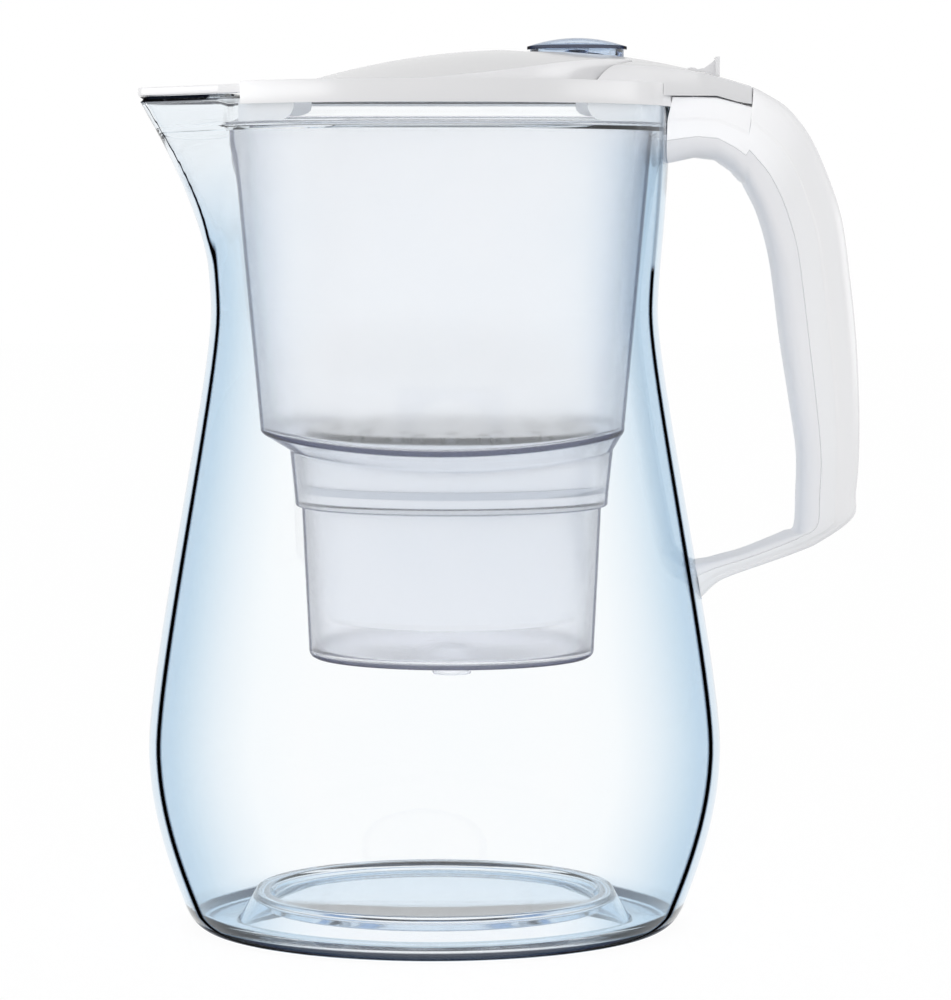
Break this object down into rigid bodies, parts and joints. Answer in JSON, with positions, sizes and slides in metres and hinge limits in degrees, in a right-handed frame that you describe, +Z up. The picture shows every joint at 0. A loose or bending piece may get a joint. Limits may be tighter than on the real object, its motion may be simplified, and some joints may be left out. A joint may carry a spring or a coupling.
{
  "type": "water filter pitcher",
  "caption": "Clear water filter pitcher with a looped white handle, a frosted hopper with its cartridge, and a lid with a flip hatch, a spout flap and a reminder dial.",
  "frame": {"origin": "on the jug's own axis, at the surface the jug stands on", "axes": "+Z up, -X towards the spout, +X towards the handle, +Y across the pitcher"},
  "size_m": [0.2246, 0.1792, 0.2771],
  "materials": {
    "clear_tint": "clear plastic with a pale blue tint",
    "white_shell": "satin white",
    "white_grip": "matt white",
    "frosted": "frosted, milky and translucent",
    "cartridge_white": "satin white",
    "mesh": "fine mesh",
    "carbon": "granules",
    "seal": "soft",
    "steel": "plain",
    "dial_blue": "clear blue",
    "dial_white": "matt white"
  },
  "bodies": {
    "jug": {"jug_body": "clear_tint", "handle_frame": "white_shell", "handle_grip": "white_grip", "handle_screws": "steel"},
    "hopper": {"hopper": "frosted"},
    "cartridge": {"cartridge_shell": "cartridge_white", "cartridge_cap": "cartridge_white", "cartridge_seal": "seal", "upper_screen": "mesh", "lower_screen": "mesh", "filter_media": "carbon"},
    "lid": {"lid_frame": "white_shell", "lid_tail": "white_shell", "hatch_pin": "steel", "flap_pin": "steel"},
    "hatch": {"hatch": "white_shell", "dial_disc": "dial_white", "dial_spring": "steel"},
    "spout_flap": {"spout_flap": "white_shell"},
    "dial": {"dial_cap": "dial_blue", "dial_spindle": "dial_white"}
  },
  "joints": [
    {"name": "hopper_lift", "type": "slide", "parent": "jug", "child": "hopper", "axis": [0, 0, 1], "range_m": [0, 0.18]},
    {"name": "cartridge_lift", "type": "slide", "parent": "hopper", "child": "cartridge", "axis": [0, 0, 1], "range_m": [0, 0.07]},
    {"name": "lid_lift", "type": "slide", "parent": "hopper", "child": "lid", "axis": [0, 0, 1], "range_m": [0, 0.06]},
    {"name": "hatch_hinge", "type": "hinge", "parent": "lid", "child": "hatch", "pos_m": [0.0795, 0, 0.2646], "axis": [0, 1, 0], "range_deg": [0, 60]},
    {"name": "flap_hinge", "type": "hinge", "parent": "lid", "child": "spout_flap", "pos_m": [-0.05945, 0, 0.26035], "axis": [0, 1, 0], "range_deg": [0, 75]},
    {"name": "dial_turn", "type": "hinge", "parent": "hatch", "child": "dial", "pos_m": [0.04435, 0, 0.2709], "axis": [0, 0, 1], "continuous": true}
  ]
}
